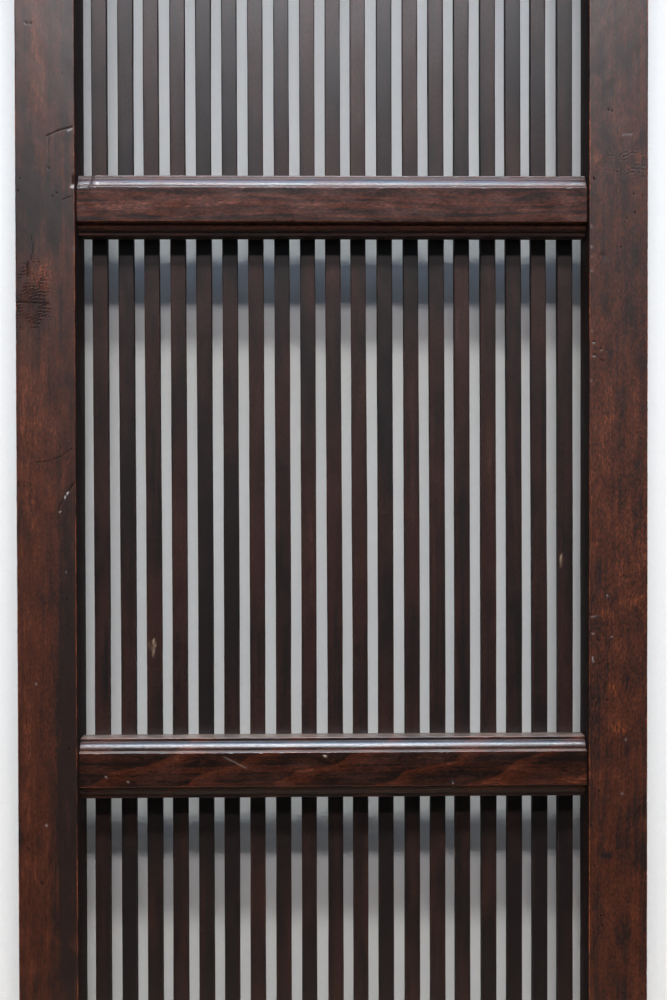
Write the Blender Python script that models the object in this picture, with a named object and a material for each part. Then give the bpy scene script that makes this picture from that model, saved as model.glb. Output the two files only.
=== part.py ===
"""Lattice door: two stiles, four rails and a row of upright slats.

Metres, +Z up. The front faces -Y and the stiles run along Z. The origin is on the outer edge of the left
stile, at half its depth and height, where the door is hung.
"""
import math

import bmesh
import bpy

# Overall sizes
DOOR_WIDTH = 0.606
DOOR_HEIGHT = 1.757
DOOR_DEPTH = 0.057

# Stiles
STILE_FACE = 0.057
STILE_EASE = 0.0012
EASE_STEPS = 2

# Rails
TOP_RAIL_HEIGHT = 0.060
MID_RAIL_HEIGHT = 0.0585
BOTTOM_RAIL_HEIGHT = 0.120
RAIL_SETBACK = 0.009
RAIL_EASE = 0.0008

# Moulded edge of a rail, from its flat front face to its flat upper or lower face
MOULDING_HEIGHT = 0.0133
LEDGE_DEPTH = 0.0048
LEDGE_RISE = 0.0016
QUIRK_STEP = 0.0010
OVOLO_DEPTH = 0.0062
FILLET_HEIGHT = 0.0020
FILLET_EASE = 0.0010
OVOLO_STEPS = 6

# Tenons and the slats' laps behind the end rails
TENON_LENGTH = 0.035
TENON_THICKNESS = 0.015
SLAT_LAP = 0.025

# Slats
SLAT_COUNT = 19
SLAT_WIDTH = 0.015
SLAT_DEPTH = 0.011
SLAT_EASE = 0.0008
BACK_INSET = 0.002

# Clearance between pieces that meet
FIT = 0.0003

# Places worked out from the sizes above
CLEAR_WIDTH = DOOR_WIDTH - 2 * STILE_FACE
HALF_HEIGHT = DOOR_HEIGHT / 2
DOOR_FRONT = -DOOR_DEPTH / 2
RAIL_FRONT = DOOR_FRONT + RAIL_SETBACK
SLAT_BACK = -DOOR_FRONT - BACK_INSET
SLAT_FRONT = SLAT_BACK - SLAT_DEPTH
MID_RAIL_DEPTH = SLAT_FRONT - FIT - RAIL_FRONT
END_RAIL_DEPTH = SLAT_BACK - RAIL_FRONT
MID_RAIL_COUNT = 2
BAY_HEIGHT = (
    DOOR_HEIGHT - TOP_RAIL_HEIGHT - BOTTOM_RAIL_HEIGHT - MID_RAIL_COUNT * MID_RAIL_HEIGHT
) / (MID_RAIL_COUNT + 1)

STILE_COLOUR = (0.070, 0.024, 0.016)
RAIL_COLOUR = (0.060, 0.022, 0.016)
SLAT_COLOUR = (0.032, 0.020, 0.018)


def clear_scene():
    for old in list(bpy.data.objects):
        bpy.data.objects.remove(old, do_unlink=True)


def wood(name, colour, roughness):
    material = bpy.data.materials.new(name)
    material.use_nodes = True
    shader = material.node_tree.nodes["Principled BSDF"]
    shader.inputs["Base Color"].default_value = (*colour, 1.0)
    shader.inputs["Roughness"].default_value = roughness
    shader.inputs["Metallic"].default_value = 0.0
    return material


def new_object(name, shape, place, material=None):
    """Turns a bmesh into a named object that stands at the given place."""
    mesh = bpy.data.meshes.new(name)
    shape.to_mesh(mesh)
    shape.free()
    if material:
        mesh.materials.append(material)
    made = bpy.data.objects.new(name, mesh)
    made.location = place
    bpy.context.collection.objects.link(made)
    return made


def block(name, size, place, material=None):
    """A box with its centre at the given place."""
    shape = bmesh.new()
    bmesh.ops.create_cube(shape, size=1.0)
    bmesh.ops.scale(shape, verts=shape.verts, vec=size)
    return new_object(name, shape, place, material)


def bar(name, outline, place, material):
    """A bar between the stiles: an outline of (y, z) points run along X, with a joint gap at each end."""
    length = CLEAR_WIDTH - 2 * FIT
    shape = bmesh.new()
    end = shape.faces.new([shape.verts.new((-length / 2, y, z)) for y, z in outline])
    run = bmesh.ops.extrude_face_region(shape, geom=[end])
    far_end = [part for part in run["geom"] if isinstance(part, bmesh.types.BMVert)]
    bmesh.ops.translate(shape, verts=far_end, vec=(length, 0.0, 0.0))
    bmesh.ops.recalc_face_normals(shape, faces=shape.faces)
    return new_object(name, shape, place, material)


def ease(piece, width, steps=EASE_STEPS):
    """Rounds a piece's corners."""
    bevel = piece.modifiers.new("eased", "BEVEL")
    bevel.width = width
    bevel.segments = steps
    bevel.limit_method = "ANGLE"


def guide(piece):
    """Marks a body that only shapes its neighbours."""
    piece.hide_render = True
    piece.display_type = "WIRE"
    return piece


def combine(piece, other, operation):
    change = piece.modifiers.new(operation.lower(), "BOOLEAN")
    change.operation = operation
    change.solver = "EXACT"
    change.object = other


def moulded_edge():
    """A moulded edge as (depth behind the rail's front, distance in from its outer face), front to back."""
    ovolo_foot = LEDGE_RISE + QUIRK_STEP
    ovolo_rise = MOULDING_HEIGHT - FILLET_HEIGHT - ovolo_foot
    rises = [(0.0, 0.0), (LEDGE_DEPTH, LEDGE_RISE)]
    for step in range(OVOLO_STEPS + 1):
        turn = math.pi / 2 * step / OVOLO_STEPS
        depth = LEDGE_DEPTH + OVOLO_DEPTH * (1 - math.cos(turn))
        rises.append((depth, ovolo_foot + ovolo_rise * math.sin(turn)))
    back = LEDGE_DEPTH + OVOLO_DEPTH
    rises.append((back, MOULDING_HEIGHT - FILLET_EASE))
    rises.append((back + FILLET_EASE, MOULDING_HEIGHT))
    return [(depth, MOULDING_HEIGHT - rise) for depth, rise in rises]


def plain_edge():
    return [(0.0, RAIL_EASE), (RAIL_EASE, 0.0)]


def rebated_back(depth):
    """The rebate behind an end rail's inner edge, where the slats' ends lap it."""
    shoulder = SLAT_FRONT - FIT - RAIL_FRONT
    return [(shoulder, 0.0), (shoulder, SLAT_LAP + FIT), (depth, SLAT_LAP + FIT)]


def rail_outline(height, upper, lower):
    """Joins an upper and a lower edge, each (depth, distance in) front to back, into one closed outline."""
    over = [(RAIL_FRONT + depth, height / 2 - inset) for depth, inset in upper]
    under = [(RAIL_FRONT + depth, inset - height / 2) for depth, inset in reversed(lower)]
    return over + under


def rail(name, height, level, upper, lower, material, stiles):
    """A rail whose tenons run from stile to stile inside it, with a mortise for each."""
    made = bar(name, rail_outline(height, upper, lower), (DOOR_WIDTH / 2, 0.0, level), material)
    size = (
        CLEAR_WIDTH + 2 * TENON_LENGTH,
        TENON_THICKNESS,
        height - 2 * MOULDING_HEIGHT,
    )
    middle = (DOOR_WIDTH / 2, RAIL_FRONT + MID_RAIL_DEPTH / 2, level)
    combine(made, guide(block("tenons_of_" + name, size, middle)), "UNION")
    mortise_size = [side + 2 * FIT for side in size]
    mortise = guide(block("mortises_of_" + name, mortise_size, middle))
    for stile in stiles:
        combine(stile, mortise, "DIFFERENCE")


def make_stiles(material):
    stiles = []
    for name, centre in (("stile_left", STILE_FACE / 2), ("stile_right", DOOR_WIDTH - STILE_FACE / 2)):
        stile = block(name, (STILE_FACE, DOOR_DEPTH, DOOR_HEIGHT), (centre, 0.0, 0.0), material)
        ease(stile, STILE_EASE)
        stiles.append(stile)
    return stiles


def make_rails(material, stiles):
    moulded = moulded_edge()
    rebated = moulded + rebated_back(END_RAIL_DEPTH)
    plain = plain_edge() + [(END_RAIL_DEPTH, 0.0)]
    top_level = HALF_HEIGHT - TOP_RAIL_HEIGHT / 2
    bottom_level = BOTTOM_RAIL_HEIGHT / 2 - HALF_HEIGHT
    rail("rail_top", TOP_RAIL_HEIGHT, top_level, plain, rebated, material, stiles)
    rail("rail_bottom", BOTTOM_RAIL_HEIGHT, bottom_level, rebated, plain, material, stiles)
    to_slats = moulded + [(MID_RAIL_DEPTH, 0.0)]
    lowest = BOTTOM_RAIL_HEIGHT + BAY_HEIGHT + MID_RAIL_HEIGHT / 2 - HALF_HEIGHT
    for index, name in enumerate(("mid_rail_lower", "mid_rail_upper")):
        level = lowest + index * (BAY_HEIGHT + MID_RAIL_HEIGHT)
        rail(name, MID_RAIL_HEIGHT, level, to_slats, to_slats, material, stiles)


def make_slats(material):
    gap = (CLEAR_WIDTH - SLAT_COUNT * SLAT_WIDTH) / (SLAT_COUNT + 1)
    low = BOTTOM_RAIL_HEIGHT - SLAT_LAP - HALF_HEIGHT
    high = HALF_HEIGHT - TOP_RAIL_HEIGHT + SLAT_LAP
    size = (SLAT_WIDTH, SLAT_DEPTH, high - low)
    for index in range(SLAT_COUNT):
        across = STILE_FACE + gap + SLAT_WIDTH / 2 + index * (SLAT_WIDTH + gap)
        place = (across, SLAT_FRONT + SLAT_DEPTH / 2, (low + high) / 2)
        ease(block(f"slat_{index + 1:02d}", size, place, material), SLAT_EASE, 1)


def main():
    clear_scene()
    stiles = make_stiles(wood("stile_wood", STILE_COLOUR, 0.38))
    make_rails(wood("rail_wood", RAIL_COLOUR, 0.30), stiles)
    make_slats(wood("slat_wood", SLAT_COLOUR, 0.45))


main()
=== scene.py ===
"""Lattice door, dressed for rendering.

Metres, in the door's own frame: X runs across the door from its hung edge, Z runs up and the front faces -Y.
Each piece is built again in the box of its CAD node, as a finely divided bar, so that its moulding, arrises,
dents and cracks are real shape. Five values ride on every point, and the wood materials read them: worn
(rubbed through to orange-brown), grime and shade (blackened: dirt, and painted shade in hollows, cracks,
pits, on sides and under the rails), chips and highlights (pale: chips, and painted glints and a painted sheen
on the rails' flat tops), tone (redder or darker; redder under the rails as a painted warm glow) and dull
(without its polish). Tables of marks are in millimetres, across and up on the front of the door.
"""
import math
from collections import namedtuple

import bpy
import numpy as np
from mathutils import Matrix, Vector


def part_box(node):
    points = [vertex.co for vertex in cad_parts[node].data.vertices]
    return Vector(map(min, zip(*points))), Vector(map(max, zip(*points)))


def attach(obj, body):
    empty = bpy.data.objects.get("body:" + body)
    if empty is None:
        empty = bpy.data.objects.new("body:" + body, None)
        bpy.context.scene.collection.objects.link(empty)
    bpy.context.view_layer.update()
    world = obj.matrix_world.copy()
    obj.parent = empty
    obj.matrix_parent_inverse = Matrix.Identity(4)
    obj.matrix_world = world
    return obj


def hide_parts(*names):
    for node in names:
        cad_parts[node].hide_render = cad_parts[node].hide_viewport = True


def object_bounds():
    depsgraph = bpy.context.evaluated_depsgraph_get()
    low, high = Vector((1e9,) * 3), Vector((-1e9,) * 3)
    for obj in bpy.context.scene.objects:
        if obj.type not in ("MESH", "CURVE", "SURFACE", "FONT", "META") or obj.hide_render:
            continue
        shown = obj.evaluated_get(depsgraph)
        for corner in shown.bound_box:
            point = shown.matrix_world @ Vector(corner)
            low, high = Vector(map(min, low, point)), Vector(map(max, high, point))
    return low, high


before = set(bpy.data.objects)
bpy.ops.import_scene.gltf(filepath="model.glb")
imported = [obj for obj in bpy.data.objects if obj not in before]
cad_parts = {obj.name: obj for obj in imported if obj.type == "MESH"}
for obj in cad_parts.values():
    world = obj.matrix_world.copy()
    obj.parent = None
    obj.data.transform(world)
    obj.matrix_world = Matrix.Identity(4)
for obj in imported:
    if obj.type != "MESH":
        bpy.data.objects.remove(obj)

CAD_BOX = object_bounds()
MM = 0.001
DOOR_MIDDLE = (CAD_BOX[0][0] + CAD_BOX[1][0]) / 2

# Stiles
STILE_FRONT_ROUND = 1.3 * MM
STILE_BACK_ROUND = 1.1 * MM
STILE_FRONT_GAP = 1.0 * MM
STILE_SIDE_GAP = 5 * MM
STILE_BACK_GAP = 6 * MM
STILE_SINK = 0.12 * MM
LEFT_STILE_FLARE = 1.6 * MM
RIGHT_STILE_FLARE = 1.2 * MM

# Moulded edge of a rail: (depth behind the flat, rise beyond its edge)
ARRIS_ROUND = 1.0 * MM
ARRIS_TILT = 76.0
LEDGE_END = (4.8 * MM, 1.98 * MM)
LEDGE_POINT_GAP = 0.9 * MM
QUIRK = ((4.95 * MM, 1.65 * MM), (5.25 * MM, 1.85 * MM))
OVOLO_START = (5.2 * MM, 2.1 * MM)
OVOLO_END = (11.0 * MM, 9.9 * MM)
OVOLO_TILTS = (10.0, 82.0)
FILLET = ((11.05 * MM, 10.15 * MM), (11.17 * MM, 12.05 * MM))
TOP_ROUND_DEPTH = 11.2 * MM
TOP_ROUND = 0.9 * MM
TOP_MARGIN = 0.5 * MM
MOULDING_HEIGHT = 13.3 * MM

# Rails
RAIL_OUTER_ROUND = 1.2 * MM
RAIL_END_ROUND = 0.3 * MM
RAIL_FRONT_GAP = 1.0 * MM
RAIL_HIDDEN_GAP = 4 * MM
RAIL_BACK_GAP = 6 * MM
RAIL_SINK = 0.08 * MM
SLAT_LAP = 25.3 * MM
SHOULDER_DEPTH = 34.7 * MM
JOINT_GAP = 0.1 * MM

# Patched end of the upper mid rail's moulding, which fades in between two depths below the rail's top
PATCH_SEAM = 72.5 * MM
PATCH_SLANT = 0.32
PATCH_SINK = 0.45 * MM
PATCH_SOFTNESS = 0.25 * MM
PATCH_FADE = (14.5 * MM, 12.5 * MM)
PATCH_GRIME = 0.15
SEAM_HALF_WIDTH = 0.7 * MM
SEAM_DEPTH = 0.3 * MM
SEAM_GRIME = 0.9

# Slats
SLAT_COUNT = 19
SLAT_ROUND = 0.9 * MM
SLAT_FRONT_GAP = 1.9 * MM
SLAT_SIDE_GAP = 4 * MM
SLAT_BACK_GAP = 5 * MM
SLAT_STRAY = 0.35 * MM
SLAT_BOW = 0.35 * MM
SLAT_BOW_HALF_WAVES = (1, 2.5)
SLAT_LEAN_LEVELS = (-0.10, 0.42)
SLAT_LEANS = (1.55 * MM, -0.1 * MM)
SLAT_DRIFT = 1.0 * MM

# Points round each kind of corner
CORNER_STEPS = 5
SLAT_CORNER_STEPS = 3
ARRIS_STEPS = 6
OVOLO_STEPS = 12
ROUND_STEPS = 5
CORNER_MARGIN = 0.4 * MM

# The stretch of the door that the camera sees, and the gaps between rings in it and out of it
VIEW_LOW = -0.49
VIEW_HIGH = 0.51
STILE_RING_GAPS = (1.7 * MM, 6.0 * MM)
MID_RAIL_RING_GAPS = (1.5 * MM, 1.5 * MM)
END_RAIL_RING_GAPS = (3.0 * MM, 3.0 * MM)
SLAT_RING_GAPS = (6.5 * MM, 9 * MM)

# How the rings crowd at short strokes, rough spots and ends
RING_SAMPLES = 6000
SHORT_STROKE = 6
STROKE_CROWD = 0.8
STROKE_REACH = 1.2
SLAT_STROKE_CROWD = 3
ROUGH_SPOT_CROWD = 1.3
END_CROWD = 2.0 / MM
END_REACH = 1.2 * MM

# Unevenness: its size, its shortest and longest wave, and its stretch along X, Y and Z
WAVE_COUNT = 14
STILE_SWELL = (0.05 * MM, (0.035, 0.11), (1.0, 0.6, 0.5))
STILE_RIPPLE = (0.012 * MM, (0.010, 0.025), (1.0, 0.5, 0.5))
RAIL_SWELL = (0.06 * MM, (0.035, 0.12), (0.6, 0.6, 1.0))
SLAT_SWELL = (0.07 * MM, (0.05, 0.20), (1.0, 0.6, 0.5))
SLAT_TONE_SWELL = (0.15, (0.1, 0.5), (0.2, 0.2, 1.0))
KNOT_SWELL = (0.6, (0.010, 0.022), (1.0, 1.0, 1.0))
KNOT_RIPPLE = (1.0, (0.0020, 0.0042), (0.34, 0.0, 1.0))
TOP_SHEEN_SWELL = (0.25, (0.01, 0.08), (1.0, 1.0, 1.0))
RUB_SWELL = (0.30, (0.02, 0.16), (1.0, 1.0, 1.0))
NIBBLE_SWELL = (1.0, (0.004, 0.011), (1.0, 1.0, 1.0))

# Where an effect starts and is full: by how far a side faces its way, or by its turn in radians per metre
FRONT_FACING = (0.0, 0.625)
SIDE_FACING = (2 / 3, 1.0)
TOP_FACING = (0.9, 1.0)
UNDER_FACING = (0.025, 0.275)
RIDGE_BEND = (250, 750)
HOLLOW_BEND = (0, 900)
NIBBLE_START = (1.1, 2.1)

# Wear and dirt, painted shade in hollows and on sides, and a painted sheen on the rails' flat tops
STILE_WEAR = 1.4
STILE_HOLLOW_DIRT_AND_SHADE = 0.5
RAIL_WEAR = 1.0
RAIL_HOLLOW_DIRT_AND_SHADE = 0.9
SLAT_WEAR = 0.45
SLAT_HOLLOW_DIRT_AND_SHADE = 0.3
RUB_LEVEL = 0.55
NIBBLE_DEPTH = 0.35 * MM
SIDE_SHADE = 0.8
JOINT_GRIME = 0.3
JOINT_REACH = 0.7 * MM
TOP_SHEEN = 0.22

# A rail's underside: how much redder it is painted, as a warm glow from below, how far back it is free of
# painted shade, and how its painted shade grows behind that
UNDERSIDE_GLOW = 0.5
UNDERSIDE_UNSHADED = 5.6 * MM
UNDERSIDE_SHADE_REACH = 5 * MM
UNDERSIDE_SHADE = 0.24 / MM

# How the ripples round a knot, and its dirt and the painted shade in its hollows, are spread
KNOT_PLATEAU = 1.6
KNOT_COVER = 0.4
KNOT_FILM = 0.25
KNOT_HOLLOW_DIRT_AND_SHADE = 1.1

# How much darker the slats are by height, darkest in a band just below the lower rail, and how far one slat
# differs from the next
LOW_DARK_LEVELS = (-0.49, -0.36, -0.27, -0.22)
LOW_DARK = (0.15, 0.35, 0.35, 0.0)
SLAT_TONE = 0.22

# Random pits on a stile, in millimetres: half width, length across and up, depth in strokes, grime and
# painted shade
PIT_COUNT = 70
PIT_INSET = 4
PIT_HALF_WIDTH = (0.5, 0.8)
PIT_ACROSS = 0.4
PIT_UP = 1.0
PIT_DEPTH = (0.15, 0.4)
PIT_GRIME_AND_SHADE = (0.2, 0.6)

# Seeds
LEFT_SEED, RIGHT_SEED = 11, 12
UPPER_SEED, LOWER_SEED, TOP_SEED, BOTTOM_SEED = 21, 22, 23, 24
SLAT_SEED = 700

# Stains: how blotchy and how freckled each is, after its colours where dark, plain, worn, and pale (chips,
# painted glints and sheen)
Stain = namedtuple("Stain", "dark body worn bare cloud speckle")
# The stiles' pale colour: painted glints where pits and cracks catch the light, and their few chips
GLINT = (0.40, 0.37, 0.36)
# The rails' pale colour: chips, painted glints, and the painted sheen on their flat tops
PALE_CHIP_AND_SHEEN = (0.42, 0.33, 0.27)
LEFT_STILE_STAIN = Stain(
    (0.012, 0.0052, 0.0038), (0.0435, 0.0105, 0.0042), (0.16, 0.038, 0.012), GLINT, 0.75, 0.32)
RIGHT_STILE_STAIN = Stain(
    (0.013, 0.0052, 0.0038), (0.0460, 0.0110, 0.0043), (0.18, 0.042, 0.012), GLINT, 0.95, 0.50)
UPPER_RAIL_STAIN = Stain(
    (0.012, 0.0058, 0.0043), (0.048, 0.0124, 0.0060), (0.14, 0.038, 0.016), PALE_CHIP_AND_SHEEN, 0.72, 0.45)
LOWER_RAIL_STAIN = Stain(
    (0.0068, 0.0034, 0.0024), (0.034, 0.0082, 0.0035), (0.12, 0.029, 0.009), PALE_CHIP_AND_SHEEN, 0.55, 0.35)
END_RAIL_STAIN = Stain(
    (0.011, 0.006, 0.005), (0.046, 0.0125, 0.007), (0.12, 0.035, 0.016), PALE_CHIP_AND_SHEEN, 0.72, 0.50)
SLAT_STAIN = Stain(
    (0.0075, 0.0050, 0.0046), (0.021, 0.0082, 0.0060), (0.065, 0.024, 0.016), (0.36, 0.24, 0.16), 0.40, 0.40)

# Varnishes: the wood's own roughness and specular level, then its coat's weight, roughness and index
Varnish = namedtuple("Varnish", "matt specular weight roughness ior")
STILE_VARNISH = Varnish((0.32, 0.45), 0.12, 0.95, 0.31, 1.78)
UPPER_RAIL_VARNISH = Varnish((0.28, 0.42), 0.38, 0.10, 0.22, 1.5)
LOWER_RAIL_VARNISH = Varnish((0.26, 0.40), 0.42, 0.14, 0.22, 1.5)
END_RAIL_VARNISH = Varnish((0.28, 0.42), 0.45, 0.12, 0.22, 1.5)
SLAT_VARNISH = Varnish((0.29, 0.37), 0.20, 0.9, 0.28, 1.62)

# Noises of the wood: scale across and along the grain, detail, roughness, and whether it sways
WOOD_NOISES = {
    "streak": (380.0, 7.0, 4.0, 0.6, True),
    "band": (95.0, 3.5, 3.0, 0.55, True),
    "patch": (85.0, 30.0, 4.0, 0.60, False),
    "mottle": (900.0, 420.0, 2.0, 0.6, False),
    "pores": (1500.0, 60.0, 1.0, 0.5, True),
    "rub": (520.0, 90.0, 3.0, 0.7, False),
    "fleck": (1100.0, 260.0, 3.0, 0.65, False),
}
SWAY_SCALE = (18.0, 3.0)
SWAY_REACH = 0.012
PIECE_SHIFT = 7.0

# The stain's shares and edges: the noise or amount at which a colour starts and is full
TONE_SHARE = 0.42
STREAK_SHARE = 0.62
BAND_SHARE = 0.50
MOTTLE_SHARE = 0.42
STAIN_EDGE = (-0.17, 0.17)
WORN_STREAKS = (0.13, 0.49)
WORN_STREAK_PATCHES = (0.40, 0.62)
WORN_STREAK_SHARE = 0.75
WORN_ARRIS_PATCHES = (0.34, 0.58)
# Dirt and painted shade: one dark colour, laid unevenly where the grime value is
DIRT_AND_SHADE_EDGE = (0.55, 1.15)
DIRT_AND_SHADE_LEVELS = (1.0, 0.72)
DIRT_AND_SHADE_SHARE = 0.92
DIRT_AND_SHADE_COLOUR = (0.0045, 0.0035, 0.0035)
PORE_EDGE = (0.56, 0.66)
PORE_SHARE = 0.35
PORE_COLOUR = (0.006, 0.0035, 0.003)
FLECK_EDGE = (0.38, 0.62)
FLECK_GAIN = 1.1

# The varnish's shine, and the fine relief of grain and film
MATT_EDGE = (0.35, 0.80)
MATT_WORN = 0.35
MATT_MOTTLE = 0.05
MATT_DULL = 0.35
COAT_LOSS = (0.1, 0.7)
GRAIN_STREAK = 0.9
GRAIN_MOTTLE = 0.35
GRAIN_PORES = 0.20
GRAIN_BUMP = (0.5, 0.05 * MM)
COAT_BUMP = (0.3, 0.03 * MM)
WOOD_IOR = 1.5
# A bluish tint on the wood's reflections: a painted colour for the cool light they reflect
REFLECTION_BLUE_TINT = (0.90, 0.95, 1.0)

# Growth rings: per metre, how far they stray, and their lines' phase, rise and end, level and strength
FLAME_RINGS_ACROSS = 10.75
FLAME_RINGS_UP = 23.6
FLAME_STRAY_SCALE = (9.0, 9.0, 30.0)
FLAME_STRAY = 1.1
FLAME_LINES = (0.63, 0.04, 0.42, 0.24, 0.27)
LONG_RINGS_UP = 130.0
LONG_STRAY_SCALE = (5.0, 5.0, 22.0)
LONG_STRAY = 5.5
LONG_LINES = (0.35, 0.10, 0.70, 0.25, 0.20)

# Camera
CAMERA_PLACE = (0.27015, -1.58938, 0.04351)
CAMERA_YAW = 1.2074
CAMERA_PITCH = -0.93624
CAMERA_ROLL = 0.11166
CAMERA_LENS = 58.602
CAMERA_SENSOR = 36.0

# Stage
BACKDROP_GAP = 0.050
BACKDROP_SIDE = 0.85
BACKDROP_RISE = 0.45
BACKDROP_COLOUR = (0.82, 0.82, 0.80)
FLOOR_DROP = 0.002
FLOOR_REACH = (0.38, 0.85)
FLOOR_MARGIN = 0.4
FLOOR_COLOUR = (0.80, 0.63, 0.46)
STAGE_ROUGHNESS = 0.9
STAGE_SPECULAR = 0.1
STAGE_GRAIN_SCALE = (260.0, 260.0, 260.0)
STAGE_GRAIN_SHADE = 0.94

# Lights. Two long strips above the camera throw the rails' double shadow, and the others fill in softly.
Light = namedtuple("Light", "name place aim size power colour spread")
SOFT_WHITE = (1.0, 0.99, 0.97)
DOOR_CENTRE = (DOOR_MIDDLE, 0.0, 0.0)
DOOR_LOW = (DOOR_MIDDLE, 0.0, -0.9)
DOOR_LOWER_BAY = (DOOR_MIDDLE, 0.0, -0.5)
DOOR_FRONT = (DOOR_MIDDLE, -0.55, 0.0)
LIGHTS = [
    Light("near_strip", (0.30, -1.34, 1.81), DOOR_LOW, (1.5, 0.20), 14.8, (0.98, 1.0, 0.985), 70.0),
    Light("far_strip", (0.30, -2.76, 2.17), DOOR_LOWER_BAY, (1.1, 0.26), 16.0, (1.0, 0.955, 0.99), 80.0),
    Light("overhead", (0.30, -0.55, 2.40), DOOR_FRONT, (2.0, 1.4), 95.0, (0.55, 0.72, 1.0), 180.0),
    Light("back_soft", (0.30, 2.60, 1.10), DOOR_CENTRE, (2.2, 2.2), 130.0, SOFT_WHITE, 180.0),
    Light("left_soft", (-2.60, 1.10, 0.90), DOOR_CENTRE, (1.6, 1.6), 25.0, SOFT_WHITE, 180.0),
    Light("right_soft", (3.20, 1.10, 0.90), DOOR_CENTRE, (1.6, 1.6), 25.0, SOFT_WHITE, 180.0),
]

# World: strengths and colours by height, and a brighter patch behind the camera, a little above it
ROOM_LEVELS = (-0.35, 0.9)
ROOM_STRENGTHS = (0.01, 0.06)
ROOM_COLOUR_LEVELS = (0.1, 0.9)
ROOM_LOW_COLOUR = (0.80, 0.93, 1.0)
ROOM_HIGH_COLOUR = (0.80, 0.92, 1.0)
ROOM_SEEN_COLOUR = (0.80, 0.80, 0.79)
ROOM_PATCH_WAY = (0.0, -1.0, 0.62)
ROOM_PATCH_EDGE = (0.87, 0.985)
ROOM_PATCH = 0.10

# A stroke: from (across, up) to (across, up), half width, depth in stroke depths, grime and painted shade,
# bare (chips and painted glints)
STROKE_DEPTH = 0.22 * MM
SMALL_PIT = (0.8, 0.4, 0.8, 0)
DARK_PIT = (0.8, 0.4, 0.9, 0)
WIDE_PIT = (0.9, 0.4, 0.9, 0)
DEEP_PIT = (0.9, 0.5, 0.9, 0)
FINE_CRACK = (0.6, 0.35, 0.9, 0)
LEFT_STROKES = [
    (11, 473, 12, 472, 0.9, 0.7, 0.6, 0),
    (16.5, 473.2, 15.4, 471.6, 0.8, 0.7, 0.7, 0),
    (29.9, 365.3, 41, 370.5, 0.7, 0.5, 1, 0),
    (41, 370.5, 54.5, 374.2, 0.8, 0.6, 1, 0),
    (50.5, 370.4, 54.5, 372, 0.7, 0, 0, 0.55),
    (32.6, 364.5, 32, 351, 0.6, 0.4, 0.5, 0),
    (32, 351, 32.3, 339, 0.55, 0.3, 0.4, 0),
    (31.8, 335.5, 32.4, 334.2, 1.2, 0.5, 0.5, 0),
    (5, 325.6, 5, 324.6, *SMALL_PIT),
    (3.1, 314.6, 3.1, 313, *SMALL_PIT),
    (39, 311.9, 40.2, 311.2, *SMALL_PIT),
    (35.3, 308.8, 35.3, 307.8, *SMALL_PIT),
    (45.3, 305, 52.9, 308.3, *FINE_CRACK),
    (15.2, 271.2, 17, 258, 0.5, 0.3, 0.6, 0),
    (17, 258, 15, 247.5, 0.5, 0.3, 0.6, 0),
    (12, 245.5, 11.6, 232.2, 0.75, 0.5, 1, 0),
    (2.6, 207.5, 31, 206.1, 0.8, 0.9, 1, 0),
    (17, 54.9, 30, 55.6, *FINE_CRACK),
    (30, 55.6, 42, 60, *FINE_CRACK),
    (42, 60, 53.2, 68.3, *FINE_CRACK),
    (53.5, 33, 45.5, 20.5, 1, 1.8, 1, 0),
    (45.5, 20.5, 40.8, 13, 0.8, 0.6, 1, 0),
    (40.8, 13, 40, 7.5, 0.6, 0.4, 0.9, 0),
    # Painted glints on the crack's edge
    (49.2, 26, 48.4, 24.4, 0.6, 0, 0, 1),
    (46.6, 22, 46.2, 20.8, 0.6, 0, 0, 0.9),
    (42, 7.6, 41.2, 7, 0.6, 0, 0, 0.5),
    (2.1, 36, 2.4, 32, 0.8, 0.5, 0.9, 0),
    (7.4, 32.4, 7.4, 31.4, *DARK_PIT),
    (15, 28.6, 15.2, 27.8, *DARK_PIT),
    (13.6, 9.2, 14.2, 8, *DARK_PIT),
    (32.6, -60.4, 32.6, -61.3, *SMALL_PIT),
    (43.1, -69.8, 43.3, -71, *SMALL_PIT),
    (47, -49.6, 47.2, -51, 0.7, 0.3, 0, 0.16),
    (47.8, -75.6, 47.8, -76.8, *SMALL_PIT),
    (46.7, -101.4, 46.9, -102.6, *SMALL_PIT),
    (49.1, -219.5, 49.1, -220.7, *SMALL_PIT),
    (17.9, -157, 18.1, -158, 0.7, 0.3, 0, 0.3),
    (27, -293, 27.4, -294, 0.7, 0.4, 0, 0.4),
    (22.2, -348, 23, -349.6, 1.4, 0.4, 0.9, 0),
    (10.2, -315, 10.6, -317, 1.4, 0.3, 0.8, 0),
    (56.2, 326.5, 55.6, 320.5, 1.7, 2.8, 1, 0),
    # A painted glint below the broken corner
    (53.4, 317, 55.4, 316.6, 0.9, -0.2, 0, 1),
    (56, 260, 56.2, 257.6, 0.8, 0.4, 0.7, 0.2),
]

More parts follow.
